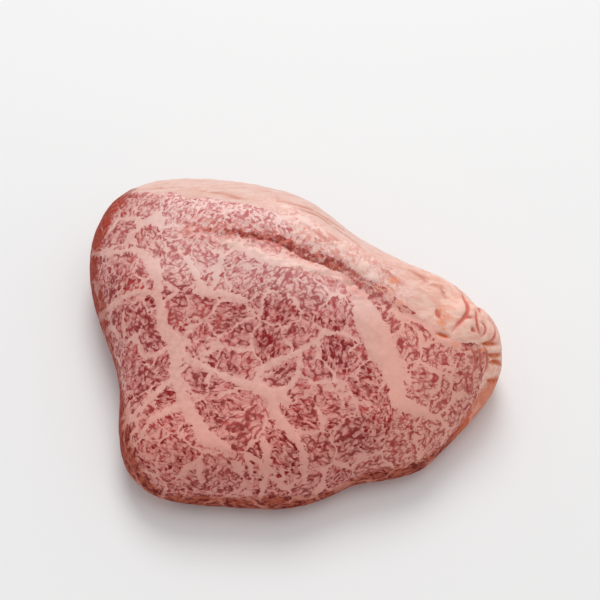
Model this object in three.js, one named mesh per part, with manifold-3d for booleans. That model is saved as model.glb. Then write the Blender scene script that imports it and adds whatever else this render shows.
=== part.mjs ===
// Raw wagyu beef tenderloin: one thick piece from the butt end of the fillet, lying on its lower cut face.
//
// The broad marbled face looks up and slopes down to the front. Near its back edge a seam parts the main
// muscle from the smaller side muscle, and beyond that the fatty outside of the fillet rolls over and down
// to the table. The right-hand end is a low knob of gathered fat.
//
// Millimetres. +X runs to the knob, +Y to the fatty back, +Z up. The origin is at the middle of the
// footprint's bounding box, on the table.
import * as THREE from "three";
import { mergeVertices } from "three/addons/utils/BufferGeometryUtils.js";
import Module from "manifold-3d";

// The outline over the plan, and how its side is rounded
const MIDDLE = new THREE.Vector2(-1, -2); // the point that the outline is measured from
const REACH = [
  65, 51, 43.5, 45, 56, 67.5, 82.5, 74, 59.5, 60.5, 65.5, 55.5, 52, 47.5, 54, 59,
]; // the outline's reach in even steps of angle, anticlockwise from +X
const BULGE_HEIGHT = 11; // where the side stands out furthest, halfway round
const BULGE_RISE = 3; // how much higher that is at the back, and lower at the front
const EDGE_FRONT = 15; // how far in the upper edge starts to round over
const EDGE_BACK = 25;
const EDGE_TURN = [-0.1, 0.9]; // the sines of the angles between which the one becomes the other
const EDGE_STRETCH = 1.25; // how much longer the rounded edge is than its width
const SHOULDER = 2.2; // roundness of the upper edge: 2 is an ellipse, more is squarer
const UNDERCUT = 2.4; // roundness of the lower edge
const SAG_DEPTH = 9; // how far the rounded underside would hang below the table that flattens it

// The crest line, from which the cut face falls to the front and the outside falls to the back
const CREST = new THREE.Vector2(8, 15);
const CREST_TURN = THREE.MathUtils.degToRad(-24.5);
const CREST_HEIGHT = 44;
const FRONT_FALL = 0.3; // mm for each mm from the crest
const FRONT_DROP = 25; // the most that it falls
const FRONT_EASE = 4; // how sharply the fall gives way to that
const BACK_FALL = 0.12;
const BACK_CURVE = 0.004; // mm for each square mm
const RIGHT_CURVE = 0.0042;
const LEFT_CURVE = 0.0014;

// The seam between the two muscles, over the plan, from the left to the knob
const SEAM = [
  [-36, 25],
  [-22, 22],
  [-6, 17.5],
  [3, 12],
  [10, 7.5],
  [18, 2],
  [25, -2.5],
  [36, -7.5],
  [49, -13],
  [60, -13],
];
const SEAM_DEPTH = 3;
const SEAM_WIDTH = 2.5; // half the width of the groove
const SEAM_FOLD = 0.35; // the share of its depth that it keeps where it runs on to the knob as a fold
const SEAM_FULL = [0.22, 0.85]; // the shares of its length between which its ends don't fade
const SEAM_CLOSING = [0.5, 0.68]; // the shares of its length over which the groove becomes the fold
const LIP_HEIGHT = 0.8; // the fat that stands up along the groove's near side
const LIP_SPREAD = 3.2;
const LOBE_HEIGHT = 2; // the side muscle's swell beyond the groove
const LOBE_OFFSET = 9.5;
const LOBE_SPREAD = 6.5;
const SEAM_STEPS = 160;

// The knob of fat at the right-hand end
const KNOB = new THREE.Vector2(57, -8);
const KNOB_RADIUS = 15;
const KNOB_CROWN = 9; // the radius within which its swell is whole
const KNOB_SWELL = 1.1;
const KNOB_FRONT = [-6, 3]; // how its swell fades in from the front, measured from its middle
const NECK_DEPTH = 0.9; // the furrow round the knob's foot
const NECK_WIDTH = 3.6;

// Furrows along the fatty outside
const FURROW_HEIGHTS = [34, 26.5, 13]; // above the table
const FURROW_DEPTH = 0.55;
const FURROW_WIDTH = 2.4;
const FURROW_WANDER = 1.6; // how far each one strays up and down
const FURROW_WAVES = [11, 14, 17]; // mm for each radian of that
const FURROW_START = [12, 20]; // how far behind the crest line they fade in

// Soft uneven swells all over: height, waves in radians for each mm, and where they start
const SWELLS = [
  { rise: 0.3, wave: new THREE.Vector3(0.11, 0.05, 0.02), start: 0.6 },
  { rise: 0.25, wave: new THREE.Vector3(-0.06, 0.1, 0.08), start: 2.1 },
  { rise: 0.2, wave: new THREE.Vector3(0.09, -0.14, 0.1), start: 4 },
  { rise: 0.12, wave: new THREE.Vector3(0.2, 0.15, -0.12), start: 1.3 },
];

const DETAIL = 24; // steps along each edge of the starting icosahedron
const EQUATOR_SHARE = 0.72; // share of the start sphere's half turn that covers the part above the bulge
const UPWARD = [0.1, 0.6]; // the upward part of the normal over which the upper side's relief fades in
const CUT_MARGIN = 40; // how far the table block reaches past the piece

const { smoothstep, clamp } = THREE.MathUtils;
const bell = (distance, spread) => Math.exp(-((distance / spread) ** 2));

// A smooth closed curve through values at even steps of angle.
function aroundTheOutline(values, angle) {
  const count = values.length;
  let sum = 0;
  values.forEach((value, k) => {
    const away = angle - (2 * Math.PI * k) / count;
    const onValue = Math.abs(Math.sin(away / 2)) < 1e-9;
    const weight = onValue
      ? 1
      : Math.sin((count * away) / 2) / (count * Math.tan(away / 2));
    sum += value * weight;
  });
  return sum;
}

// How far a point lies across the crest line, towards the back, and along it, towards the knob.
function crestFrame(x, y) {
  const dx = x - CREST.x;
  const dy = y - CREST.y;
  const c = Math.cos(CREST_TURN);
  const s = Math.sin(CREST_TURN);
  return { along: c * dx + s * dy, across: c * dy - s * dx };
}

// The height that the upper side would have if its edges weren't rounded.
function upperHeight(x, y) {
  const { along, across } = crestFrame(x, y);
  const forward = FRONT_FALL * Math.max(-across, 0);
  const ease = 1 + (forward / FRONT_DROP) ** FRONT_EASE;
  const front = forward / ease ** (1 / FRONT_EASE);
  const beyond = Math.max(across, 0);
  const back = BACK_FALL * beyond + BACK_CURVE * beyond * beyond;
  const curve = along > 0 ? RIGHT_CURVE : LEFT_CURVE;
  return CREST_HEIGHT - front - back - curve * along * along;
}

// A direction from the start sphere's middle to a point of the plain form.
function plainForm(direction) {
  const angle = Math.atan2(direction.y, direction.x);
  const fromTop = Math.acos(clamp(direction.z, -1, 1));
  const equator = EQUATOR_SHARE * Math.PI;
  const reach = aroundTheOutline(REACH, angle);
  const facing = Math.sin(angle); // 1 at the back, -1 at the front
  const bulge = BULGE_HEIGHT + BULGE_RISE * facing;
  const edge =
    EDGE_FRONT + smoothstep(facing, ...EDGE_TURN) * (EDGE_BACK - EDGE_FRONT);
  const flat = reach - edge;
  const point = (distance) =>
    new THREE.Vector2(
      MIDDLE.x + distance * Math.cos(angle),
      MIDDLE.y + distance * Math.sin(angle),
    );
  if (fromTop <= equator) {
    const way = fromTop / equator;
    const flatWay = flat / (flat + EDGE_STRETCH * edge);
    const over = Math.max(way - flatWay, 0) / (1 - flatWay);
    const turn = (Math.PI / 2) * over ** (SHOULDER / 2);
    const inset = edge * (1 - Math.sin(turn) ** (2 / SHOULDER));
    const rise = Math.max(Math.cos(turn), 0) ** (2 / SHOULDER);
    const { x, y } = point(over > 0 ? reach - inset : (way / flatWay) * flat);
    return new THREE.Vector3(x, y, bulge + (upperHeight(x, y) - bulge) * rise);
  }
  const turn = ((Math.PI / 2) * (fromTop - equator)) / (Math.PI - equator);
  const share = Math.max(Math.cos(turn), 0) ** (2 / UNDERCUT);
  const drop = Math.sin(turn) ** (2 / UNDERCUT);
  const { x, y } = point(share * reach);
  return new THREE.Vector3(x, y, bulge - (bulge + SAG_DEPTH) * drop);
}

// The seam as a fine row of points.
const seamPoints = new THREE.CatmullRomCurve3(
  SEAM.map(([x, y]) => new THREE.Vector3(x, y, 0)),
  false,
  "centripetal",
).getSpacedPoints(SEAM_STEPS);

// The nearest point of the seam: its distance, positive beyond it, and its share of the length.
function seamPlace(x, y) {
  let best = 0;
  let nearest = Infinity;
  seamPoints.forEach((p, k) => {
    const d = (p.x - x) ** 2 + (p.y - y) ** 2;
    if (d < nearest) {
      nearest = d;
      best = k;
    }
  });
  const before = seamPoints[Math.max(best - 1, 0)];
  const after = seamPoints[Math.min(best + 1, SEAM_STEPS)];
  const at = seamPoints[best];
  const turn =
    (after.x - before.x) * (y - at.y) - (after.y - before.y) * (x - at.x);
  return {
    distance: Math.sign(turn) * Math.sqrt(nearest),
    share: best / SEAM_STEPS,
  };
}

// The groove, the lip before it and the swell beyond it, all fading out at its ends.
function seamRelief(p) {
  const { distance, share } = seamPlace(p.x, p.y);
  const [full, fading] = SEAM_FULL;
  const ends = smoothstep(share, 0, full) * (1 - smoothstep(share, fading, 1));
  const open = 1 - smoothstep(share, ...SEAM_CLOSING);
  const depth = SEAM_DEPTH * (SEAM_FOLD + (1 - SEAM_FOLD) * open);
  const groove = -depth * bell(distance, SEAM_WIDTH);
  const lipPlace = SEAM_WIDTH + LIP_SPREAD / 2;
  const lip = LIP_HEIGHT * open * bell(distance + lipPlace, LIP_SPREAD);
  const lobe = LOBE_HEIGHT * open * bell(distance - LOBE_OFFSET, LOBE_SPREAD);
  return ends * (groove + lip + lobe);
}

// The knob's swell and the furrow round its foot.
function knobRelief(p) {
  const away = Math.hypot(p.x - KNOB.x, p.y - KNOB.y);
  const within = 1 - smoothstep(away, KNOB_CROWN, KNOB_RADIUS);
  const fatty = smoothstep(p.y - KNOB.y, ...KNOB_FRONT);
  const neck = -NECK_DEPTH * bell(away - KNOB_RADIUS, NECK_WIDTH);
  return fatty * (within * KNOB_SWELL + neck);
}

// Furrows that run along the outside, each wandering up and down and growing deeper and shallower.
function outsideRelief(p) {
  const { along, across } = crestFrame(p.x, p.y);
  let sum = 0;
  FURROW_HEIGHTS.forEach((height, k) => {
    const wave = along / FURROW_WAVES[k];
    const middle = height + FURROW_WANDER * Math.sin(wave + k);
    const depth = FURROW_DEPTH * (1 + Math.sin(wave / 2 + 2 * k) / 2);
    sum -= depth * bell(p.z - middle, FURROW_WIDTH);
  });
  return smoothstep(across, ...FURROW_START) * sum;
}

function swells(p) {
  return SWELLS.reduce(
    (sum, { rise, wave, start }) => sum + rise * Math.sin(wave.dot(p) + start),
    0,
  );
}

function bodyGeometry() {
  const start = new THREE.IcosahedronGeometry(1, DETAIL);
  start.deleteAttribute("normal");
  start.deleteAttribute("uv");
  const geometry = mergeVertices(start, 1e-5);
  const position = geometry.getAttribute("position");
  const v = new THREE.Vector3();
  for (let i = 0; i < position.count; i++) {
    v.fromBufferAttribute(position, i).normalize();
    const p = plainForm(v);
    position.setXYZ(i, p.x, p.y, p.z);
  }
  geometry.computeVertexNormals();
  const normal = geometry.getAttribute("normal");
  const n = new THREE.Vector3();
  for (let i = 0; i < position.count; i++) {
    v.fromBufferAttribute(position, i);
    n.fromBufferAttribute(normal, i);
    const upper = smoothstep(n.z, ...UPWARD) * (seamRelief(v) + knobRelief(v));
    v.addScaledVector(n, upper + outsideRelief(v) + swells(v));
    position.setXYZ(i, v.x, v.y, v.z);
  }
  geometry.deleteAttribute("normal");
  return geometry;
}

// three.js geometry to a manifold-3d solid, and back.
const wasm = await Module();
wasm.setup();

function toSolid(geometry) {
  return new wasm.Manifold(
    new wasm.Mesh({
      numProp: 3,
      vertProperties: new Float32Array(geometry.getAttribute("position").array),
      triVerts: new Uint32Array(geometry.index.array),
    }),
  );
}

function toGeometry(solid) {
  const mesh = solid.getMesh();
  return new THREE.BufferGeometry()
    .setAttribute("position", new THREE.BufferAttribute(mesh.vertProperties, 3))
    .setIndex(new THREE.BufferAttribute(mesh.triVerts, 1));
}

// The table, which presses the rounded underside flat.
function tableBlock() {
  const side = 2 * (Math.max(...REACH) + CUT_MARGIN);
  const box = new THREE.BoxGeometry(side, side, CUT_MARGIN);
  box.translate(0, 0, -CUT_MARGIN / 2);
  box.deleteAttribute("normal");
  box.deleteAttribute("uv");
  return mergeVertices(box, 1e-5);
}

function tenderloin() {
  const pressed = toSolid(bodyGeometry()).subtract(toSolid(tableBlock()));
  const geometry = toGeometry(pressed);
  geometry.computeBoundingBox();
  const { min, max } = geometry.boundingBox;
  geometry.translate(-(min.x + max.x) / 2, -(min.y + max.y) / 2, 0);
  geometry.computeVertexNormals();
  const material = new THREE.MeshStandardMaterial({
    name: "marbled_beef",
    color: new THREE.Color(0.76, 0.49, 0.45),
    roughness: 0.45,
    metalness: 0,
  });
  const mesh = new THREE.Mesh(geometry, material);
  mesh.name = "tenderloin";
  return mesh;
}

const group = new THREE.Group();
group.add(tenderloin());

export default group;
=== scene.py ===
import math
from types import SimpleNamespace

import bpy
import numpy as np
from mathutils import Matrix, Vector, noise
from mathutils.bvhtree import BVHTree


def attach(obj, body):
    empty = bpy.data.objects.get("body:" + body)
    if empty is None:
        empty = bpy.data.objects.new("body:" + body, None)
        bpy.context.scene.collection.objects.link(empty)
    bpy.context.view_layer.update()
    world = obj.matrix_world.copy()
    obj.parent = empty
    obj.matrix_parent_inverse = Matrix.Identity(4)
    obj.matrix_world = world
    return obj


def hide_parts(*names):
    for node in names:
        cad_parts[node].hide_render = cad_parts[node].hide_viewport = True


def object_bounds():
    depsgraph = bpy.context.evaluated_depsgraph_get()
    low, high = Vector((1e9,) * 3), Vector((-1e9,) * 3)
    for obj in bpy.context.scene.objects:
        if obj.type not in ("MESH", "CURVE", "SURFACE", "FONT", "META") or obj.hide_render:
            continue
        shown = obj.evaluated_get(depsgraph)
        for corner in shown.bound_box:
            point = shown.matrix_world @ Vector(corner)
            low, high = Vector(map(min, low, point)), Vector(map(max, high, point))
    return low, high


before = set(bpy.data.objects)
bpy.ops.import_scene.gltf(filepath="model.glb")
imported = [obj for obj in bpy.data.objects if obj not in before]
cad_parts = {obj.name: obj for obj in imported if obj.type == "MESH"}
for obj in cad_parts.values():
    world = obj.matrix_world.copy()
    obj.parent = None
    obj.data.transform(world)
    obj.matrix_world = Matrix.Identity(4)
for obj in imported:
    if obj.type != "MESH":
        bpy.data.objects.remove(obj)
CAD_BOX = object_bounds()
MM = 0.001

# The photograph's view
PHOTO_SIDE = 600  # pixels
CAMERA_TARGET = Vector((0.0028, 0.0068, 0.024))
CAMERA_ELEVATION = math.radians(55)
CAMERA_DISTANCE = 0.45
CAMERA_LENS = 85
CAMERA_SENSOR = 36
CAMERA_NEAR = 0.01
PIXEL_SPREAD = CAMERA_SENSOR / CAMERA_LENS / PHOTO_SIDE  # across one pixel, at a distance of 1
PIXEL = CAMERA_DISTANCE * PIXEL_SPREAD / MM  # mm on the object across one pixel

# Table and light
TABLE_SIZE = 6
TABLE_COLOUR = (0.86, 0.86, 0.86, 1)
TABLE_ROUGHNESS = 0.6
TABLE_SHEEN = 0.2
SKY_STRENGTH = 0.54
WINDOW = {"place": (0.0, 0.95, 1.25), "size": 0.8, "watts": 10.5}
OVERHEAD = {"place": (0.3, 0.1, 1.6), "size": 1.2, "watts": 4}

# The body's mesh
MERGE_DISTANCE = 1e-6
ROUNDING_LEVELS = 2
VOXEL = 0.00065
SMOOTH_FACTOR = 0.5
SMOOTH_STEPS = 4
GROOVE_STEPS = 300  # smoothing that lifts the groove's floor
GROOVE_REACH = (5, 10)  # mm from the groove's line

# The crease between the two muscles, the fold at the knob's foot and the cut face's edge, in pixels
CREASE = [
    (190, 228), (225, 231), (250, 236), (275, 239), (290, 245), (305, 255), (325, 266), (345, 277),
    (360, 290),
]
FOLD = [(360, 290), (378, 300), (400, 311), (430, 326), (455, 340), (475, 347), (490, 346)]
CUT_EDGE = [
    (104, 235), (112, 214), (126, 196), (147, 192), (158, 195), (168, 192), (177, 193), (189, 199),
    (209, 198), (228, 201), (249, 205), (271, 211), (282, 218), (296, 232), (312, 246), (330, 256),
    (350, 268), (368, 280), (385, 288), (405, 305), (425, 320), (445, 334), (460, 342), (478, 344),
    (485, 354), (485, 367), (482, 380), (478, 392), (475, 401),
]

# The crease's dark clumps, partly dried meat and partly painted shade, its bright lip, pale fat with a
# painted highlight, and the cut at the clumps' foot, with the same painted shade: pixels, and half the
# width
CREASE_CLUMPS = [
    (194, 227, 1), (206, 230, 1.6), (218, 229, 1), (229, 231, 2.5), (240, 233, 3), (252, 235, 2.4),
    (262, 236, 0.7), (272, 235, 1.2), (285, 240, 3), (295, 246, 2.6), (306, 253, 1.8), (318, 256, 4),
    (330, 262, 5), (342, 267, 4.6), (352, 271, 2.6), (358, 280, 2.4), (363, 291, 1.5),
]
BRIGHT_LIP = [
    (200, 233, 1), (216, 237, 2), (228, 243, 4), (240, 243, 4), (256, 250, 3), (270, 258, 3),
    (285, 260, 3), (300, 266, 4), (320, 270, 4), (340, 277, 3), (352, 286, 2),
]
CREASE_CUT = [
    (222, 234), (232, 236), (242, 237), (256, 238), (268, 239), (282, 244), (294, 251), (306, 258),
    (318, 262), (330, 268), (342, 272), (352, 279), (360, 290),
]

# The brown rim: pixels along the outline, and how far it reaches inwards in pixels
RIM = [
    (134, 189, 3), (124, 195, 6), (112, 203, 9), (103, 220, 9), (97, 240, 8), (93, 262, 6),
    (92, 285, 9), (96, 310, 12), (103, 335, 8), (110, 352, 4), (117, 382, 4), (120, 410, 8),
    (121, 440, 11), (130, 468, 10), (148, 488, 8), (170, 499, 6), (200, 504, 10), (233, 508, 12),
    (262, 509, 13), (290, 506, 12), (316, 502, 8), (341, 492, 7), (365, 482, 9), (395, 477, 11),
    (426, 466, 9), (452, 445, 7), (472, 418, 7), (491, 387, 8), (497, 378, 3),
]
RIM_FADE = (-5, 4)  # pixels

# The wide seams of fat: pixels, and the width there in pixels
FAT_SEAMS = {
    "trunk": [
        (157, 262, 6), (158, 290, 8), (160, 305, 9), (164, 328, 11), (175, 343, 17), (177, 357, 14),
        (175, 372, 11), (180, 390, 11), (187, 407, 12), (197, 424, 13), (210, 440, 13), (228, 449, 5),
    ],
    "left_branch": [(157, 292, 6), (140, 292, 6), (125, 297, 6), (110, 308, 6), (97, 318, 5)],
    "top_branch": [(92, 254, 4), (113, 253, 5), (132, 250, 5), (148, 258, 9), (155, 272, 12)],
    "fork_left": [(187, 258, 5), (195, 272, 5), (203, 288, 6), (206, 293, 7)],
    "fork_right": [(222, 256, 5), (218, 270, 5), (215, 283, 5), (207, 293, 7)],
    "fork_foot": [(193, 290, 4), (207, 293, 8), (225, 294, 7), (245, 300, 5)],
    "middle": [
        (178, 352, 9), (205, 368, 5), (226, 377, 6), (245, 383, 8), (262, 390, 12), (288, 401, 8),
    ],
    "island_left": [(258, 384, 7), (260, 370, 6), (277, 361, 6), (298, 353, 5)],
    "island_right": [(300, 357, 4), (298, 372, 4), (290, 386, 6), (277, 393, 8)],
    "broad": [
        (360, 298, 14), (366, 315, 25), (374, 333, 28), (384, 352, 26), (392, 370, 20), (397, 387, 16),
        (400, 402, 16), (420, 410, 9), (432, 418, 4),
    ],
    "low_left": [(178, 376, 7), (165, 385, 6), (150, 399, 5), (135, 415, 5), (124, 426, 5)],
    "low_ring": [(185, 405, 8), (165, 412, 6), (150, 421, 5), (141, 435, 4)],
    "low_middle": [(270, 396, 10), (277, 415, 10), (294, 436, 8), (303, 455, 6), (305, 482, 4)],
    "low_side": [(262, 440, 5), (267, 455, 6), (265, 480, 5), (260, 500, 4)],
    "lip": [
        (222, 241, 3), (240, 247, 7), (258, 255, 9), (275, 262, 7), (298, 263, 11), (320, 269, 9),
        (340, 277, 7), (352, 288, 9), (360, 298, 13),
    ],
    "knob_lip": [(426, 324, 4), (437, 333, 9), (447, 341, 8), (456, 347, 3)],
}
SEAM_HALF = 0.46  # of the width, to each side
NO_SEAM = 99.0  # mm, where no wide seam is near
SEAM_EDGE_RANGE = (-6, 12)  # mm

# Streaks along the outer fat: pixels, and half the width there in pixels
FAT_STREAKS = [
    [(225, 194, 1), (236, 197, 2), (247, 199, 1)],
    [
        (256, 187, 1), (290, 192, 2), (312, 200, 2.5), (335, 214, 2.5), (352, 227, 2), (372, 241, 1.5),
        (392, 256, 1),
    ],
    [(292, 207, 1), (306, 211, 2), (320, 217, 2.5), (336, 228, 2.5), (352, 240, 2), (366, 252, 1)],
    [(326, 232, 1), (338, 240, 1.5), (350, 250, 1)],
    [(300, 222, 1), (316, 232, 1.5), (334, 246, 1)],
    [(396, 264, 1), (408, 270, 1.5), (418, 275, 2), (427, 280, 3), (436, 285, 2), (446, 290, 1)],
    [(440, 284, 1), (443, 291, 2.5), (446, 300, 1)],
    [(196, 190, 1), (212, 192, 1.5), (228, 194, 1)],
    [(372, 262, 1), (388, 273, 2), (402, 285, 1)],
    [(150, 189, 1), (166, 187, 1.2), (184, 188, 1)],
]

# The knob's dark stripes and the pinched folds at its end
KNOB_STRIPES = [
    [
        (457, 289, 1), (463, 295, 1.5), (467, 303, 2), (468, 311, 1.8), (463, 319, 1.6),
        (458, 324, 1.8), (452, 331, 1),
    ],
    [(470, 292, 1.5), (474, 299, 3), (479, 307, 2.5), (481, 314, 1)],
    [(476, 309, 1.5), (477, 318, 1.2), (478, 327, 1.2), (481, 337, 1)],
    [(480, 321, 1), (485, 325, 1.2), (486, 331, 1.2), (482, 337, 1)],
    [(489, 317, 1), (494, 325, 1.5), (496, 333, 2), (493, 340, 1.6), (487, 342, 1)],
    [(462, 320, 1), (468, 317, 1.2), (474, 318, 1)],
    [(471, 327, 1), (473, 330, 1.6), (475, 332, 1)],
    [(436, 308, 1), (438, 314, 2), (441, 320, 1)],
    [(469, 345, 1), (474, 353, 1.2), (476, 364, 1.2), (473, 375, 1)],
    [(478, 348, 1), (481, 358, 1.2), (480, 370, 1)],
    [(484, 346, 1), (487, 354, 1.5), (488, 364, 1.8), (484, 376, 1)],
]
PINCH_FOLDS = [
    [(481, 344, 1), (489, 344, 1.8), (499, 344, 1.8)],
    [(487, 354, 1), (494, 356, 2), (504, 354, 2)],
    [(489, 363, 1), (496, 362, 2), (504, 365, 2)],
    [(488, 380, 1), (494, 382, 2), (500, 379, 2)],
    [(436, 333, 1), (443, 335, 1.6), (450, 338, 1)],
]

# Lumps of pale fat, the darkest bundles, the red corner and the orange spots: pixels and radius
PALE_LUMPS = [(362, 268, 8), (344, 246, 5), (372, 279, 5), (287, 208, 5), (150, 201, 3), (236, 244, 4)]
DARK_BUNDLES = [
    (165, 393, 9), (148, 305, 15), (112, 288, 13), (150, 375, 14), (150, 340, 12), (200, 378, 12),
    (240, 318, 14), (285, 376, 10), (335, 350, 14), (388, 395, 12), (360, 440, 20), (300, 445, 14),
]
RED_CORNER = [
    (122, 203, 8), (124, 212, 6), (115, 209, 9), (108, 220, 8), (103, 232, 7), (99, 244, 6),
    (136, 196, 4),
]
ORANGE_SPOTS = [
    (442, 324, 7), (441, 309, 5), (394, 281, 6), (388, 290, 5), (400, 302, 4), (378, 288, 4),
    (491, 345, 4), (497, 356, 4), (494, 363, 4), (493, 385, 7), (487, 394, 6), (446, 316, 6),
    (463, 297, 5), (472, 303, 4), (484, 350, 4), (456, 344, 4), (502, 348, 5),
]

# The wandering of the surface: the size of its lumps in mm, how it is drawn out, and its start
SWELLS = {"size": 7, "drawn": (1, 1, 1), "start": (3, 1, 2)}
GRIT = {"size": 2.2, "drawn": (1, 1, 1), "start": (7, 4, 1)}
LOBES = {"size": 3.5, "drawn": (0.35, 1, 1), "start": (1, 9, 4)}
BLOCKS = {"size": 1.5, "drawn": (0.7, 1, 1), "start": (2, 5, 8)}

# How far each form rises or sinks, in mm
SWELL_RISE = 0.22
GRIT_RISE = 0.07
LOBE_RISE = 0.22
CLUMP_RISE = 1.0
LIP_RISE = 0.35
LIP_BLOCK_RISE = 0.7
LUMP_RISE = 0.5
SEAM_RISE = 0.12
CUT_DEPTH = 0.8
CUT_GRIT_DEPTH = 0.9
FOLD_DEPTH = 0.3
KNOB_STRIPE_DEPTH = 0.7
PINCH_DEPTH = 1.1
STREAK_DEPTH = 0.25

# How wide each form is, in mm
CUT_SPREAD = 0.55
FOLD_SPREAD = 0.9
CLUMP_SPREAD = 4.5
WASH_SPREAD = 3.5

CLUMP_BESIDE = 0.6  # of a clump's rise, all along the crease
STRIPE_SPREAD = 1.25  # of a stripe's half width

# Where the kinds of surface give way to each other, in mm across the object or behind the cut face's edge
EDGE_FADE = (-0.6, 0.6)
SEAM_FADE = (-0.3, 0.6)
LEFT_END = (-59, -52)
FRONT_END = (-38, -30)
COARSE_FROM = (18, 36)
MOTTLED_FROM = (-16, 4)
MOTTLED_TO = (30, 40)
MOTTLED_EDGE = (-1.5, 1.0)
MOTTLED_END = (5, 10)
WASH_END = (14, 18)

# Painted sheen: the flecks and the pale ground are paler towards the back, in two steps, and less so at
# the left
BACK_SLANT = 0.25
PAINTED_SHEEN_STEPS = [(0.65, -8, 3), (0.35, 8, 22)]
LEFT_DEEPER = 0.65
LEFT_FADE = (-54, -34)

# Which way a surface faces, as the share of its normal
UPPER_FACING = (0.05, 0.35)
FRONT_FACING = (0.3, 0.8)
FRONT_LIFT = 0.3
SIDE_FACING = (0.05, 0.45)
DOWN_FACING = (0.5, 0.9)
OUTSIDE_CLEANER = 0.6

# Lines through pixels
LINE_STEPS = 6
LINE_ENDS = (0.05, 0.95)
FOLD_END = (0.9, 1)
LEAST_SHARE = 0.01
TINY = 1e-9

# What the finish reads at each point of the surface
MARKS = (
    "seam_edge", "outside", "mottled", "crease", "bright_lip", "wash", "knob_line", "pinch", "streak",
    "pale_lump", "orange", "red", "dark", "coarse", "faded", "rim",
)

BUNDLE = 10.0  # mm across

# The noises of the finish: the size of their lumps in mm, how fine and rough they are, and their start
TONE = {"size": 1.7, "detail": 3, "rough": 0.6, "start": (0.3, 0.5, 0.9)}
BROAD_TONE = {"size": 9, "detail": 2, "rough": 0.5, "start": (0.8, 0.2, 0.4)}
FINE_TONE = {"size": 2.1, "detail": 3, "rough": 0.6, "start": (0.7, 0.3, 0.1)}
GRAIN = {"size": 0.75, "detail": 2, "rough": 0.6, "start": (0.9, 0.4, 0.7)}
SEAM_WIDTH = {"size": 9, "detail": 2, "rough": 0.5, "start": (0.9, 0.1, 0.6)}
SEAM_RUFFLE = {"size": 1.5, "detail": 2, "rough": 0.6, "start": (0.2, 0.8, 0.5)}
STROKES = {"size": 1.02, "detail": 1, "rough": 0.5, "start": (0, 0, 0)}
STROKE_DENSITY = {"size": 4, "detail": 2, "rough": 0.5, "start": (0.4, 0.8, 0.2)}
THREADS = {"size": 1.95, "detail": 0.5, "rough": 0.5, "start": (0.5, 0.5, 0.5)}
THREAD_WIDTH = {"size": 2, "detail": 1.5, "rough": 0.5, "start": (0.2, 0.1, 0.6)}
HAIRS = {"size": 1.15, "detail": 0.5, "rough": 0.5, "start": (0.9, 1.5, 0.5)}
HAIR_PATCHES = {"size": 1.6, "detail": 1, "rough": 0.5, "start": (0, 0, 0)}
STRANDS = {"size": 2.2, "detail": 3, "rough": 0.55, "start": (4.2, 0.4, 1.1)}
PORES = {"size": 0.8, "detail": 3, "rough": 0.6, "start": (0, 0, 0)}

# How far those forms are pushed about by noise, in mm, and how they are drawn out
BUNDLE_BEND = {"size": 6, "reach": 6, "detail": 2, "start": (5.1, 0.7, 2.4)}
BUNDLE_FRAY = {"size": 1.2, "reach": 1.4, "detail": 2, "start": (1.1, 0.7, 4.4)}
STROKE_BEND = {"size": 1.9, "reach": 1.9, "detail": 1.5, "start": (3.1, 1.7, 0.4)}
THREAD_BEND = {"size": 1.8, "reach": 1.6, "detail": 1, "start": (0.1, 1.3, 0.8)}
HAIR_BEND = {"size": 1.3, "reach": 1.2, "detail": 1, "start": (0.7, 0.2, 1.6)}
STRAND_BEND = {"size": 5, "reach": 6, "detail": 2, "start": (1.3, 2.2, 0.1)}
WARP_ROUGH = 0.6
STROKE_DRAWN = (0.62, 1, 1)
THREAD_DRAWN = (0.75, 1, 1)
STRAND_DRAWN = (0.4, 1, 1)

BEEF_SHEEN = 0.2
FAT_ROUGHNESS = 0.42
MEAT_ROUGHNESS = 0.5
RIM_ROUGHER = 0.25
BUMP_STRENGTH = 0.5
BUMP_HEIGHT = 0.0002


def colour(red, green, blue):
    """A colour as the eye names it, from 0 to 255, as the shader wants it."""
    shares = [value / 255 for value in (red, green, blue)]
    return (*[((s + 0.055) / 1.055) ** 2.4 if s > 0.04045 else s / 12.92 for s in shares], 1)


FAT_FACE = colour(215, 161, 150)
FAT_FACE_2 = colour(226, 172, 160)
# Bright pale fat, also used for the painted sheen on the pale ground
FAT_BRIGHT = colour(253, 219, 211)
MEAT_PALE = colour(202, 132, 126)
MEAT_PALE_2 = colour(222, 158, 149)
COARSE_PALE = colour(234, 170, 152)
LOW_PALE = colour(226, 152, 138)
FLECK_DARK = colour(130, 8, 10)
FLECK_MID = colour(176, 58, 54)
# The flecks' red under the painted sheen
FLECK_IN_SHEEN = colour(202, 112, 112)
FLECK_RUDDY = colour(176, 50, 54)
OUTER_FAT = colour(232, 194, 182)
OUTER_FAT_2 = colour(226, 182, 168)
KNOB_FAT = colour(248, 201, 183)
KNOB_PINK = colour(232, 156, 136)
OUTER_STREAK = colour(206, 134, 117)
OUTER_THREAD = colour(224, 138, 122)
LUMP_FAT = colour(252, 214, 200)
RIM_DARK = colour(108, 10, 2)
RIM_PALE = colour(178, 84, 58)
RIM_ORANGE = colour(218, 104, 58)
RIM_RUST = colour(158, 42, 14)
CREASE_WASH = colour(222, 116, 98)
RED = colour(180, 58, 44)
# The crease's clumps and cut: partly dried meat, partly painted shade
CREASE_RED = colour(150, 36, 20)
CREASE_RED_2 = colour(212, 112, 94)
KNOB_LINE = colour(210, 112, 96)
PINCH_LINE = colour(206, 100, 56)
ORANGE = colour(236, 142, 104)


# Camera, table and lights


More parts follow.
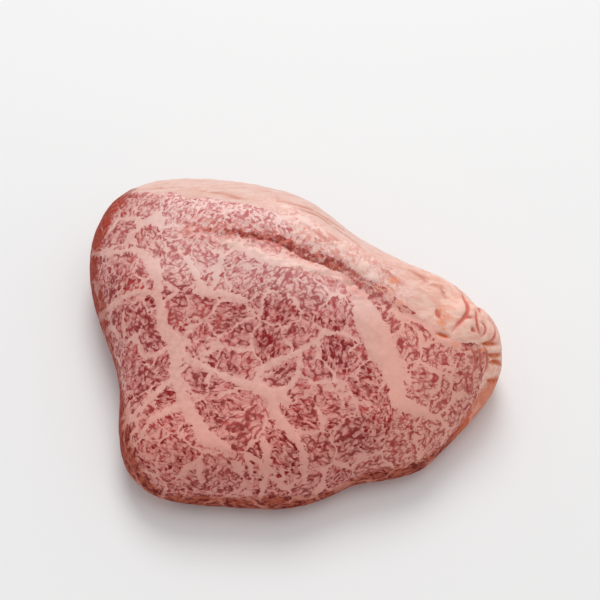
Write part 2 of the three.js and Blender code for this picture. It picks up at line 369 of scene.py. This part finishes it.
def make_camera():
    camera = bpy.data.objects.new("camera", bpy.data.cameras.new("camera"))
    bpy.context.scene.collection.objects.link(camera)
    camera.data.lens = CAMERA_LENS
    camera.data.sensor_width = CAMERA_SENSOR
    camera.data.clip_start = CAMERA_NEAR
    back = Vector((0, -math.cos(CAMERA_ELEVATION), math.sin(CAMERA_ELEVATION)))
    camera.location = CAMERA_TARGET + back * CAMERA_DISTANCE
    camera.rotation_euler = (-back).to_track_quat("-Z", "Y").to_euler()
    bpy.context.scene.camera = camera
    bpy.context.view_layer.update()
    return camera


def make_table():
    bpy.ops.mesh.primitive_plane_add(size=TABLE_SIZE, location=(0, 0, 0))
    table = bpy.context.object
    table.name = "table"
    material = bpy.data.materials.new("pale_table")
    material.use_nodes = True
    shader = material.node_tree.nodes["Principled BSDF"]
    shader.inputs["Base Color"].default_value = TABLE_COLOUR
    shader.inputs["Roughness"].default_value = TABLE_ROUGHNESS
    shader.inputs["Specular IOR Level"].default_value = TABLE_SHEEN
    table.data.materials.append(material)


def soft_light(name, place, size, watts):
    """A round light that faces the object."""
    light = bpy.data.objects.new(name, bpy.data.lights.new(name, "AREA"))
    light.data.shape = "DISK"
    light.data.size = size
    light.data.energy = watts
    light.location = place
    light.rotation_euler = (-Vector(place)).to_track_quat("-Z", "Y").to_euler()
    bpy.context.scene.collection.objects.link(light)


def make_lights():
    world = bpy.data.worlds.new("studio")
    bpy.context.scene.world = world
    world.use_nodes = True
    background = world.node_tree.nodes["Background"]
    background.inputs["Color"].default_value = (1, 1, 1, 1)
    background.inputs["Strength"].default_value = SKY_STRENGTH
    soft_light("window", **WINDOW)
    soft_light("overhead", **OVERHEAD)
    bpy.context.scene.view_settings.view_transform = "Standard"


# Lines, distances and noise


def smooth_row(values):
    """A smooth curve through rows of numbers, with further rows between them."""
    rows = np.array(values, float)
    ends = np.vstack([2 * rows[0] - rows[1], rows, 2 * rows[-1] - rows[-2]])
    made = []
    for k in range(1, len(ends) - 2):
        a, b, c, d = ends[k - 1 : k + 3]
        for t in np.arange(LINE_STEPS) / LINE_STEPS:
            made.append(
                b + (c - a) * t / 2 + (a - 2.5 * b + 2 * c - d / 2) * t**2
                + (1.5 * (b - c) + (d - a) / 2) * t**3
            )
    made.append(rows[-1])
    return np.array(made)


def away_from(points, line):
    """Distance from each point to a line, and the place along it, counted in its points."""
    nearest = np.full(len(points), np.inf)
    place = np.zeros(len(points))
    for k in range(len(line) - 1):
        a, b = line[k], line[k + 1]
        run = b - a
        t = np.clip((points - a) @ run / max(run @ run, TINY), 0, 1)
        d = np.linalg.norm(points - (a + t[:, None] * run), axis=1)
        closer = d < nearest
        nearest[closer] = d[closer]
        place[closer] = (k + t)[closer]
    return nearest, place


def behind_line(points, line):
    """How far a point lies behind a line in plan, as the line runs to the right."""
    flat = (1, 1, 0)
    d, place = away_from(points * flat, line * flat)
    k = np.clip(place.astype(int), 0, len(line) - 2)
    run = line[k + 1] - line[k]
    away = points - line[k]
    turn = run[:, 0] * away[:, 1] - run[:, 1] * away[:, 0]
    return np.sign(turn) * d


def along_line(place, values):
    """The value at each place along a line that has one value for each of its points."""
    return np.interp(place, np.arange(len(values)), values)


def bell(distance, spread):
    return np.exp(-((distance / spread) ** 2))


def fade(value, low, high):
    """0 up to low, 1 from high on, and smooth between."""
    t = np.clip((value - low) / (high - low), 0, 1)
    return t * t * (3 - 2 * t)


def taper(place, line):
    """1 along a line, and less towards its ends."""
    share = np.clip(place / (len(line) - 1), *LINE_ENDS)
    return np.sin(np.pi * share) ** 0.5


def wander(points, size, drawn, start):
    """Smooth noise about 0, with lumps of the given size in mm."""
    shift = Vector(start)
    return np.array([
        noise.fractal(Vector(p) / size + shift, 1, 2, 2, noise_basis="PERLIN_ORIGINAL")
        for p in points * drawn
    ])


# Places on the surface


def vertex_rows(mesh):
    """A mesh's points in mm and its normals."""
    places = np.zeros(len(mesh.vertices) * 3, np.float32)
    mesh.vertices.foreach_get("co", places)
    normals = np.zeros(len(mesh.vertices) * 3, np.float32)
    mesh.vertex_normals.foreach_get("vector", normals)
    return places.reshape(-1, 3).astype(float) / MM, normals.reshape(-1, 3).astype(float)


class Surface:
    """The body's points and normals, and where the photograph's pixels lie on it."""

    def __init__(self, body, camera):
        self.camera = camera
        self.points, self.normals = vertex_rows(body.data)
        self.tree = BVHTree.FromObject(body, bpy.context.evaluated_depsgraph_get())

    def at(self, x, y):
        """Where the surface shows at a pixel, in mm, or its nearest point beside the outline."""
        middle = PHOTO_SIDE / 2
        ahead = Vector(((x - middle) * PIXEL_SPREAD, (middle - y) * PIXEL_SPREAD, -1)).normalized()
        start = self.camera.location
        direction = self.camera.matrix_world.to_3x3() @ ahead
        hit = self.tree.ray_cast(start, direction)[0]
        if hit is None:
            hit = self.tree.find_nearest(start + direction * CAMERA_DISTANCE)[0]
        return np.array(hit) / MM

    def pixels(self):
        """The pixel at which each point is seen."""
        inward = np.array(self.camera.matrix_world.inverted())
        local = self.points * MM @ inward[:3, :3].T + inward[:3, 3]
        across = PHOTO_SIDE / 2 + local[:, 0] / -local[:, 2] / PIXEL_SPREAD
        down = PHOTO_SIDE / 2 - local[:, 1] / -local[:, 2] / PIXEL_SPREAD
        return np.stack([across, down, np.zeros(len(local))], 1)

    def line(self, pixels):
        """A smooth line over the surface through pixels: points in mm, and further values at them."""
        rows = smooth_row(pixels)
        places = np.array([self.at(x, y) for x, y in rows[:, :2]])
        return places, rows[:, 2:]

    def away(self, pixels):
        """Distance from each point to a line through pixels, the place along it, and the line."""
        line, values = self.line(pixels)
        distance, place = away_from(self.points, line)
        return SimpleNamespace(distance=distance, place=place, line=line, values=values)

    def spots(self, rows):
        """Round spots: 1 in the middle of each and less outwards."""
        total = np.zeros(len(self.points))
        for x, y, radius in rows:
            distance = np.linalg.norm(self.points - self.at(x, y), axis=1)
            total = np.maximum(total, bell(distance, radius * PIXEL))
        return total

    def stripes(self, rows):
        """Stripes that end thin: 1 in the middle of each and less outwards."""
        total = np.zeros(len(self.points))
        for row in rows:
            near = self.away(row)
            spread = along_line(near.place, near.values[:, 0]) * PIXEL * STRIPE_SPREAD
            total = np.maximum(total, bell(near.distance, spread) * taper(near.place, near.line))
        return total


# The body


def finish_with(body, kind, **settings):
    """Adds a modifier and applies it."""
    modifier = body.modifiers.new(kind.lower(), kind)
    for name, value in settings.items():
        setattr(modifier, name, value)
    bpy.ops.object.modifier_apply(modifier=modifier.name)


def refine(body):
    """Rounds the solid's copy and gives it an even, fine mesh."""
    bpy.ops.object.select_all(action="DESELECT")
    bpy.context.view_layer.objects.active = body
    body.select_set(True)
    bpy.ops.object.mode_set(mode="EDIT")
    bpy.ops.mesh.select_all(action="SELECT")
    bpy.ops.mesh.remove_doubles(threshold=MERGE_DISTANCE)
    bpy.ops.object.mode_set(mode="OBJECT")
    finish_with(body, "SUBSURF", levels=ROUNDING_LEVELS, render_levels=ROUNDING_LEVELS)
    finish_with(body, "REMESH", mode="VOXEL", voxel_size=VOXEL)
    finish_with(body, "SMOOTH", factor=SMOOTH_FACTOR, iterations=SMOOTH_STEPS)
    bpy.ops.object.shade_smooth()


def lift_groove(body, surface):
    """Softens the solid's groove, where the clumps and the cut are then set."""
    groove = surface.away(CREASE + FOLD[1:-2])
    shares = 1 - fade(groove.distance, *GROOVE_REACH)
    group = body.vertex_groups.new(name="groove")
    for k in np.nonzero(shares > LEAST_SHARE)[0]:
        group.add([int(k)], float(shares[k]), "REPLACE")
    finish_with(
        body, "SMOOTH", factor=SMOOTH_FACTOR, iterations=GROOVE_STEPS, vertex_group=group.name
    )
    body.vertex_groups.clear()


def distance_to_seams(surface):
    """Distance to the nearest wide seam's edge in mm, less than 0 inside the seam."""
    nearest = np.full(len(surface.points), NO_SEAM)
    for pixels in FAT_SEAMS.values():
        seam = surface.away(pixels)
        half = along_line(seam.place, seam.values[:, 0]) * PIXEL * SEAM_HALF
        nearest = np.minimum(nearest, seam.distance - half)
    return np.where(surface.normals[:, 2] > 0, nearest, NO_SEAM)


def brown_rim_share(surface):
    """1 on the brown rim, as far inwards as the photograph shows it."""
    rows = smooth_row(RIM)
    away, place = away_from(surface.pixels(), rows * (1, 1, 0))
    return 1 - fade(away - along_line(place, rows[:, 2]), *RIM_FADE)


def find_forms(surface):
    """Where each of the object's forms lies: a value for every point of the surface."""
    edge, _ = surface.line(CUT_EDGE)
    behind = behind_line(surface.points, edge)
    x = surface.points[:, 0]
    y = surface.points[:, 1]
    cut = surface.away(CREASE_CUT)
    fold = surface.away(FOLD)
    fold_end = 1 - fade(fold.place / (len(fold.line) - 1), *FOLD_END)
    return SimpleNamespace(
        upper=fade(surface.normals[:, 2], *UPPER_FACING),
        behind=behind,
        outside=fade(behind, *EDGE_FADE) * fade(x, *LEFT_END) * fade(y, *FRONT_END),
        crease_away=surface.away(CREASE).distance,
        cut=bell(cut.distance, CUT_SPREAD) * taper(cut.place, cut.line),
        clumps=surface.stripes([CREASE_CLUMPS]),
        bright_lip=surface.stripes([BRIGHT_LIP]),
        fold=bell(fold.distance, FOLD_SPREAD) * fold_end,
        seam_edge=distance_to_seams(surface),
        knob_stripes=surface.stripes(KNOB_STRIPES),
        pinches=surface.stripes(PINCH_FOLDS),
        streaks=surface.stripes(FAT_STREAKS),
        pale_lumps=surface.spots(PALE_LUMPS),
        dark=surface.spots(DARK_BUNDLES),
        red=surface.spots(RED_CORNER),
        orange=surface.spots(ORANGE_SPOTS),
        rim=brown_rim_share(surface),
    )


def relief(surface, forms):
    """How far each point rises along its normal, in mm."""
    grit = wander(surface.points, **GRIT)
    blocks = wander(surface.points, **BLOCKS)
    ragged = np.maximum(CLUMP_BESIDE * bell(forms.crease_away, CLUMP_SPREAD), forms.clumps)
    above = LOBE_RISE * forms.outside * wander(surface.points, **LOBES)
    above -= forms.cut * (CUT_DEPTH + CUT_GRIT_DEPTH * grit)
    above += CLUMP_RISE * ragged * blocks
    above += forms.bright_lip * (LIP_RISE + LIP_BLOCK_RISE * blocks)
    above -= FOLD_DEPTH * forms.fold
    above += LUMP_RISE * forms.pale_lumps
    above += SEAM_RISE * fade(-forms.seam_edge, *SEAM_FADE)
    rise = SWELL_RISE * wander(surface.points, **SWELLS) + GRIT_RISE * grit
    rise += forms.upper * above
    rise -= KNOB_STRIPE_DEPTH * forms.knob_stripes
    rise -= PINCH_DEPTH * forms.pinches
    rise -= STREAK_DEPTH * forms.streaks
    return rise


def raise_surface(mesh, surface, rise):
    """Moves the points along their normals, inside the solid's own box."""
    low, high = (np.array(corner) / MM for corner in CAD_BOX)
    surface.points = np.clip(surface.points + surface.normals * rise[:, None], low, high)
    mesh.vertices.foreach_set("co", (surface.points * MM).astype(np.float32).ravel())
    mesh.update()


def finish_marks(surface, forms):
    """What the finish reads at each point, by name."""
    x = surface.points[:, 0]
    back = surface.points[:, 1] + BACK_SLANT * x
    up = surface.normals[:, 2]
    front = fade(-surface.normals[:, 1], *FRONT_FACING)
    side = 1 - fade(up + FRONT_LIFT * front, *SIDE_FACING)
    above_foot = 1 - fade(-up, *DOWN_FACING)
    coarse = fade(x, *COARSE_FROM) * (1 - forms.outside)
    # Painted sheen, rising towards the back in two steps, less at the left and none on the coarse part
    faded = sum(share * fade(back, low, high) for share, low, high in PAINTED_SHEEN_STEPS)
    faded *= (1 - coarse) * (1 - LEFT_DEEPER * (1 - fade(x, *LEFT_FADE)))
    mottled = fade(forms.behind, *MOTTLED_EDGE) * (1 - fade(forms.behind, *MOTTLED_END))
    return {
        "seam_edge": np.clip(forms.seam_edge, *SEAM_EDGE_RANGE),
        "outside": forms.outside * above_foot,
        "mottled": mottled * fade(x, *MOTTLED_FROM) * (1 - fade(x, *MOTTLED_TO)),
        # The crease's clumps and cut: partly dried meat, partly painted shade
        "crease": np.maximum(forms.clumps, forms.cut),
        # The lip's pale fat, with a painted highlight
        "bright_lip": forms.bright_lip,
        "wash": bell(forms.crease_away, WASH_SPREAD) * (1 - fade(forms.behind, *WASH_END)),
        "knob_line": forms.knob_stripes,
        "pinch": forms.pinches,
        "streak": forms.streaks,
        "pale_lump": forms.pale_lumps,
        "orange": forms.orange,
        "red": forms.red,
        "dark": forms.dark,
        "coarse": coarse,
        "faded": faded,
        "rim": np.maximum(forms.rim, side * (1 - OUTSIDE_CLEANER * forms.outside)) * above_foot,
    }


def make_body(camera):
    """The solid's form on a finer mesh, with its relief and with what the finish reads."""
    body = bpy.data.objects.new("marbled_body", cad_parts["tenderloin"].data.copy())
    bpy.context.scene.collection.objects.link(body)
    body.data.materials.clear()
    refine(body)
    lift_groove(body, Surface(body, camera))
    surface = Surface(body, camera)
    forms = find_forms(surface)
    raise_surface(body.data, surface, relief(surface, forms))
    marks = finish_marks(surface, forms)
    for name in MARKS:
        attribute = body.data.attributes.new(name, "FLOAT", "POINT")
        attribute.data.foreach_set("value", marks[name].astype(np.float32))
    return body


# The finish


class Shade:
    """Short words for the nodes of one material, with sizes in mm."""

    def __init__(self, tree):
        self.tree = tree

    def node(self, kind, **settings):
        made = self.tree.nodes.new(kind)
        for name, value in settings.items():
            setattr(made, name, value)
        return made

    def feed(self, socket, value):
        if isinstance(value, bpy.types.NodeSocket):
            self.tree.links.new(value, socket)
        else:
            socket.default_value = value

    def math(self, operation, a, b=0.0, c=0.0):
        made = self.node("ShaderNodeMath", operation=operation)
        for socket, value in zip(made.inputs, (a, b, c)):
            self.feed(socket, value)
        return made.outputs[0]

    def add(self, a, b):
        return self.math("ADD", a, b)

    def less(self, a, b):
        return self.math("SUBTRACT", a, b)

    def times(self, a, b):
        return self.math("MULTIPLY", a, b)

    def most(self, a, b):
        return self.math("MAXIMUM", a, b)

    def least(self, a, b):
        return self.math("MINIMUM", a, b)

    def centred(self, value):
        """Noise about 0."""
        return self.less(value, 0.5)

    def ramp(self, value, low, high):
        """0 up to low, 1 from high on, and smooth between; falling where low is the larger."""
        made = self.node("ShaderNodeMapRange", interpolation_type="SMOOTHSTEP")
        self.feed(made.inputs["Value"], value)
        if low > high:
            low, high = high, low
            made.inputs["To Min"].default_value = 1
            made.inputs["To Max"].default_value = 0
        made.inputs["From Min"].default_value = low
        made.inputs["From Max"].default_value = high
        return made.outputs["Result"]

    def vector(self, operation, a, b):
        made = self.node("ShaderNodeVectorMath", operation=operation)
        self.feed(made.inputs[0], a)
        self.feed(made.inputs["Scale" if operation == "SCALE" else 1], b)
        return made.outputs[0]

    def noise(self, place, size, detail, rough, start, output="Fac"):
        made = self.node("ShaderNodeTexNoise")
        self.feed(made.inputs["Vector"], self.vector("ADD", place, start))
        made.inputs["Scale"].default_value = 1 / (size * MM)
        made.inputs["Detail"].default_value = detail
        made.inputs["Roughness"].default_value = rough
        return made.outputs[output]

    def warp(self, place, size, reach, detail, start):
        """A place pushed about by noise, by up to half its reach."""
        push = self.noise(place, size, detail, WARP_ROUGH, start, "Color")
        push = self.vector("SUBTRACT", push, (0.5, 0.5, 0.5))
        return self.vector("ADD", place, self.vector("SCALE", push, reach * MM))

    def cells(self, place, size, feature, output):
        made = self.node("ShaderNodeTexVoronoi", feature=feature)
        self.feed(made.inputs["Vector"], place)
        made.inputs["Scale"].default_value = 1 / (size * MM)
        return made.outputs[output]

    def mix(self, share, a, b):
        """From the colour a to the colour b."""
        made = self.node("ShaderNodeMix", data_type="RGBA")
        self.feed(made.inputs[0], share)
        self.feed(made.inputs[6], a)
        self.feed(made.inputs[7], b)
        return made.outputs[2]

    def between(self, share, a, b):
        """From the number a to the number b."""
        made = self.node("ShaderNodeMix", data_type="FLOAT")
        self.feed(made.inputs[0], share)
        self.feed(made.inputs[2], a)
        self.feed(made.inputs[3], b)
        return made.outputs[0]

    def attribute(self, name):
        return self.node("ShaderNodeAttribute", attribute_name=name).outputs["Fac"]


def lay_tones(s, m):
    """Tones that wander over the whole surface, and the places across it and backwards."""
    m.tone = s.noise(m.place, **TONE)
    m.broad_tone = s.noise(m.place, **BROAD_TONE)
    m.fine_tone = s.noise(m.place, **FINE_TONE)
    m.wobble = s.centred(m.tone)
    m.grain = s.centred(s.noise(m.place, **GRAIN))
    m.ragged = s.add(m.wobble, m.grain)
    axes = s.node("ShaderNodeSeparateXYZ")
    s.feed(axes.inputs[0], m.place)
    m.across = axes.outputs[0]
    m.backwards = axes.outputs[1]


def lay_bundles(s, m):
    """Bundles of fibres, each with its own run and kind of flecks."""
    loose = s.warp(m.place, **BUNDLE_BEND)
    loose = s.warp(loose, **BUNDLE_FRAY)
    own = s.node("ShaderNodeSeparateColor")
    s.feed(own.inputs[0], s.cells(loose, BUNDLE, "F1", "Color"))
    turned = s.node("ShaderNodeVectorRotate", rotation_type="Z_AXIS")
    s.feed(turned.inputs["Vector"], m.place)
    s.feed(turned.inputs["Angle"], s.times(own.outputs[0], 2 * math.pi))
    m.run = turned.outputs[0]
    m.bundle_edge = s.cells(loose, BUNDLE, "DISTANCE_TO_EDGE", "Distance")
    m.netted = s.ramp(s.add(own.outputs[1], s.times(m.coarse, 0.4)), 0.35, 0.65)
    # Where the flecks are drawn finer: the coarse part and under the painted sheen
    m.fine = s.most(m.coarse, s.times(m.faded, 0.9))


def lay_seams(s, m):
    """Room to the nearest seam of fat in mm, the nearness of it, and the border beside it."""
    width = s.math("MULTIPLY_ADD", s.noise(m.place, **SEAM_WIDTH), 0.28, -0.132)
    thin_room = s.times(s.less(m.bundle_edge, width), BUNDLE)
    # The thin seams narrow under the painted sheen
    thin_room = s.add(thin_room, s.times(m.faded, 0.25))
    ruffle = s.times(s.centred(s.noise(m.place, **SEAM_RUFFLE)), 3.4)
    m.room = s.least(thin_room, s.add(m.seam_edge, ruffle))
    m.near = s.ramp(m.room, 0.6, -0.4)
    m.border = s.times(s.ramp(m.room, 0.0, 0.5), s.ramp(m.room, 2.2, 0.9))


def short_strokes(s, m):
    """Strokes along the bundle, closer together in the dark bundles and beside the seams."""
    run = s.warp(s.vector("MULTIPLY", m.run, STROKE_DRAWN), **STROKE_BEND)
    density = s.centred(s.noise(m.place, **STROKE_DENSITY))
    limit = s.less(0.555, s.times(density, 0.45))
    limit = s.add(limit, s.times(m.netted, 0.15))
    limit = s.less(limit, s.add(s.times(m.dark, 0.05), s.times(m.border, 0.03)))
    limit = s.add(limit, s.times(m.fine, 0.025))
    limit = s.add(limit, s.times(m.near, 0.3))
    return s.ramp(s.less(s.noise(run, **STROKES), limit), -0.14, 0.14)


def curling_threads(s, m):
    """Threads that curl round pale pockets."""
    run = s.warp(s.vector("MULTIPLY", m.run, THREAD_DRAWN), **THREAD_BEND)
    away = s.math("ABSOLUTE", s.centred(s.noise(run, **THREADS)))
    width = s.math("MULTIPLY_ADD", s.noise(m.place, **THREAD_WIDTH), 0.32, -0.125)
    width = s.add(width, s.less(s.times(m.netted, 0.045), s.times(m.fine, 0.014)))
    width = s.less(width, s.times(m.near, 0.3))
    return s.ramp(s.less(away, width), 0.09, -0.09)


def faint_hairs(s, m):
    """Hairs between the threads, away from the seams."""
    run = s.warp(m.place, **HAIR_BEND)
    away = s.math("ABSOLUTE", s.centred(s.noise(run, **HAIRS)))
    hairs = s.times(s.ramp(away, 0.09, 0.0), s.ramp(s.noise(m.place, **HAIR_PATCHES), 0.42, 0.6))
    return s.times(hairs, s.ramp(m.room, 0.1, 0.8))


def lay_flecks(s, m):
    """Strokes, threads and hairs together: 1 in the middle of a fleck, 0 between them."""
    threads = s.times(curling_threads(s, m), 0.92)
    hairs = s.times(faint_hairs(s, m), s.between(m.fine, 0.55, 0.9))
    m.flecks = s.most(s.most(short_strokes(s, m), threads), hairs)


def pale_ground(s, m):
    """Fat in the seams and pale meat between the flecks, brightened towards the back by painted sheen."""
    lighter = s.ramp(m.tone, 0.38, 0.62)
    fat = s.mix(lighter, FAT_FACE, FAT_FACE_2)
    meat = s.mix(lighter, MEAT_PALE, MEAT_PALE_2)
    pale = s.mix(s.ramp(m.room, -0.4, 0.9), fat, meat)
    low = s.ramp(m.backwards, -0.018, -0.05)
    pale = s.mix(s.times(low, 0.6), pale, LOW_PALE)
    pale = s.mix(s.times(m.coarse, 0.7), pale, COARSE_PALE)
    # Painted sheen: the pale ground brightens towards the back
    return s.mix(s.times(m.faded, 0.85), pale, FAT_BRIGHT)


def deep_flecks(s, m):
    """The flecks' red, darkest in the dark bundles and where they are thick, and paled towards the back
    by painted sheen.
    """
    deepness = s.add(m.fine_tone, s.times(s.centred(m.broad_tone), 0.4))
    deepness = s.add(deepness, s.times(m.dark, 0.2))
    deepness = s.add(deepness, s.times(s.less(m.flecks, 0.7), 0.2))
    deep = s.mix(s.ramp(deepness, 0.34, 0.61), FLECK_MID, FLECK_DARK)
    # Painted sheen: the flecks pale towards the back
    deep = s.mix(s.times(m.faded, s.ramp(m.broad_tone, 1.0, 0.42)), deep, FLECK_IN_SHEEN)
    return s.mix(s.times(m.coarse, 0.55), deep, FLECK_RUDDY)


def outer_fat(s, m):
    """Pale outer fat with strands along it, pinker on the knob and mottled beside the cut face."""
    run = s.warp(s.vector("MULTIPLY", m.place, STRAND_DRAWN), **STRAND_BEND)
    strand = s.noise(run, **STRANDS)
    fat = s.mix(s.ramp(strand, 0.38, 0.62), OUTER_FAT, OUTER_FAT_2)
    fat = s.mix(s.times(s.ramp(strand, 0.6, 0.75), 0.3), fat, OUTER_STREAK)
    knob = s.mix(s.times(s.ramp(strand, 0.4, 0.62), 0.6), KNOB_FAT, KNOB_PINK)
    fat = s.mix(s.times(s.ramp(m.across, 0.015, 0.05), 0.85), fat, knob)
    fat = s.mix(s.times(m.mottled, 0.7), fat, FAT_BRIGHT)
    fat = s.mix(s.times(m.flecks, s.times(m.mottled, 0.85)), fat, OUTER_THREAD)
    fat = s.mix(s.times(m.streak, s.ramp(strand, 0.3, 0.5)), fat, OUTER_STREAK)
    return s.mix(s.times(m.pale_lump, 0.85), fat, LUMP_FAT)


def lay_rim(s, m, base):
    """The dried brown rim, rusty at the left end and orange at the right."""
    m.dried = s.ramp(s.add(m.rim, s.times(m.ragged, 1.2)), 0.15, 0.95)
    m.dried = s.times(m.dried, s.less(1.0, s.times(m.near, 0.5)))
    brownness = s.add(s.centred(m.fine_tone), s.times(s.centred(m.flecks), 0.25))
    brown = s.mix(s.ramp(brownness, -0.15, 0.15), RIM_PALE, RIM_DARK)
    brown = s.mix(s.times(s.ramp(m.across, 0.045, 0.056), 0.8), brown, RIM_ORANGE)
    brown = s.mix(s.times(s.ramp(m.across, -0.045, -0.058), 0.8), brown, RIM_RUST)
    cover = s.less(0.95, s.times(m.outside, 0.2))
    return s.mix(s.times(m.dried, cover), base, brown)


def torn_spots(s, m, spots, spread, core, strength):
    """Spots with torn edges: where they spread, where they surely end, and how strong they are."""
    torn = s.ramp(s.add(spots, s.times(m.ragged, 1.8)), *spread)
    return s.times(s.times(torn, s.ramp(spots, *core)), s.between(m.flecks, *strength))


def lay_crease(s, m, base):
    """The crease's red wash, its bright lip of pale fat with a painted highlight, and its dark clumps,
    partly dried meat and partly painted shade.
    """
    wash = s.times(m.wash, s.ramp(m.tone, 0.3, 0.6))
    base = s.mix(s.times(wash, 0.55), base, CREASE_WASH)
    # The lip's pale fat, with a painted highlight
    base = s.mix(s.times(m.bright_lip, 0.6), base, LUMP_FAT)
    # The clumps and the cut: partly dried meat, partly painted shade
    clumped = s.ramp(s.add(m.crease, s.add(m.grain, s.times(m.wobble, 3.0))), 0.36, 0.8)
    clumped = s.times(clumped, s.ramp(m.crease, 0.05, 0.4))
    paler = s.ramp(s.add(s.times(m.grain, 0.5), m.fine_tone), 0.46, 0.62)
    return s.mix(s.times(clumped, 0.85), base, s.mix(paler, CREASE_RED, CREASE_RED_2))


def marbled_beef():
    material = bpy.data.materials.new("marbled_beef")
    material.use_nodes = True
    s = Shade(material.node_tree)
    m = SimpleNamespace(**{name: s.attribute(name) for name in MARKS})
    m.place = s.node("ShaderNodeTexCoord").outputs["Object"]
    lay_tones(s, m)
    lay_bundles(s, m)
    lay_seams(s, m)
    lay_flecks(s, m)

    cut_face = s.mix(m.flecks, pale_ground(s, m), deep_flecks(s, m))
    covered = s.ramp(s.add(m.outside, s.times(m.ragged, 1.2)), 0.35, 0.65)
    base = s.mix(covered, cut_face, outer_fat(s, m))
    base = lay_rim(s, m, base)
    red = torn_spots(s, m, m.red, (0.3, 0.95), (0.02, 0.3), (0.65, 0.9))
    base = s.mix(red, base, RED)
    base = lay_crease(s, m, base)
    base = s.mix(s.ramp(m.knob_line, 0.05, 0.75), base, KNOB_LINE)
    base = s.mix(s.ramp(m.pinch, 0.05, 0.8), base, PINCH_LINE)
    orange = torn_spots(s, m, m.orange, (0.2, 1.1), (0.05, 0.4), (0.6, 0.9))
    base = s.mix(orange, base, ORANGE)
    roughness = s.between(m.flecks, FAT_ROUGHNESS, MEAT_ROUGHNESS)
    pores = s.times(s.noise(m.place, **PORES), 0.5)

    bump = s.node("ShaderNodeBump")
    bump.inputs["Strength"].default_value = BUMP_STRENGTH
    bump.inputs["Distance"].default_value = BUMP_HEIGHT
    s.feed(bump.inputs["Height"], s.add(s.times(m.flecks, -0.5), pores))
    shader = material.node_tree.nodes["Principled BSDF"]
    shader.inputs["Specular IOR Level"].default_value = BEEF_SHEEN
    s.feed(shader.inputs["Base Color"], base)
    s.feed(shader.inputs["Roughness"], s.add(roughness, s.times(m.dried, RIM_ROUGHER)))
    s.feed(shader.inputs["Normal"], bump.outputs[0])
    return material


camera = make_camera()
body = make_body(camera)
body.data.materials.append(marbled_beef())
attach(body, "root")
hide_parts("tenderloin")
make_table()
make_lights()
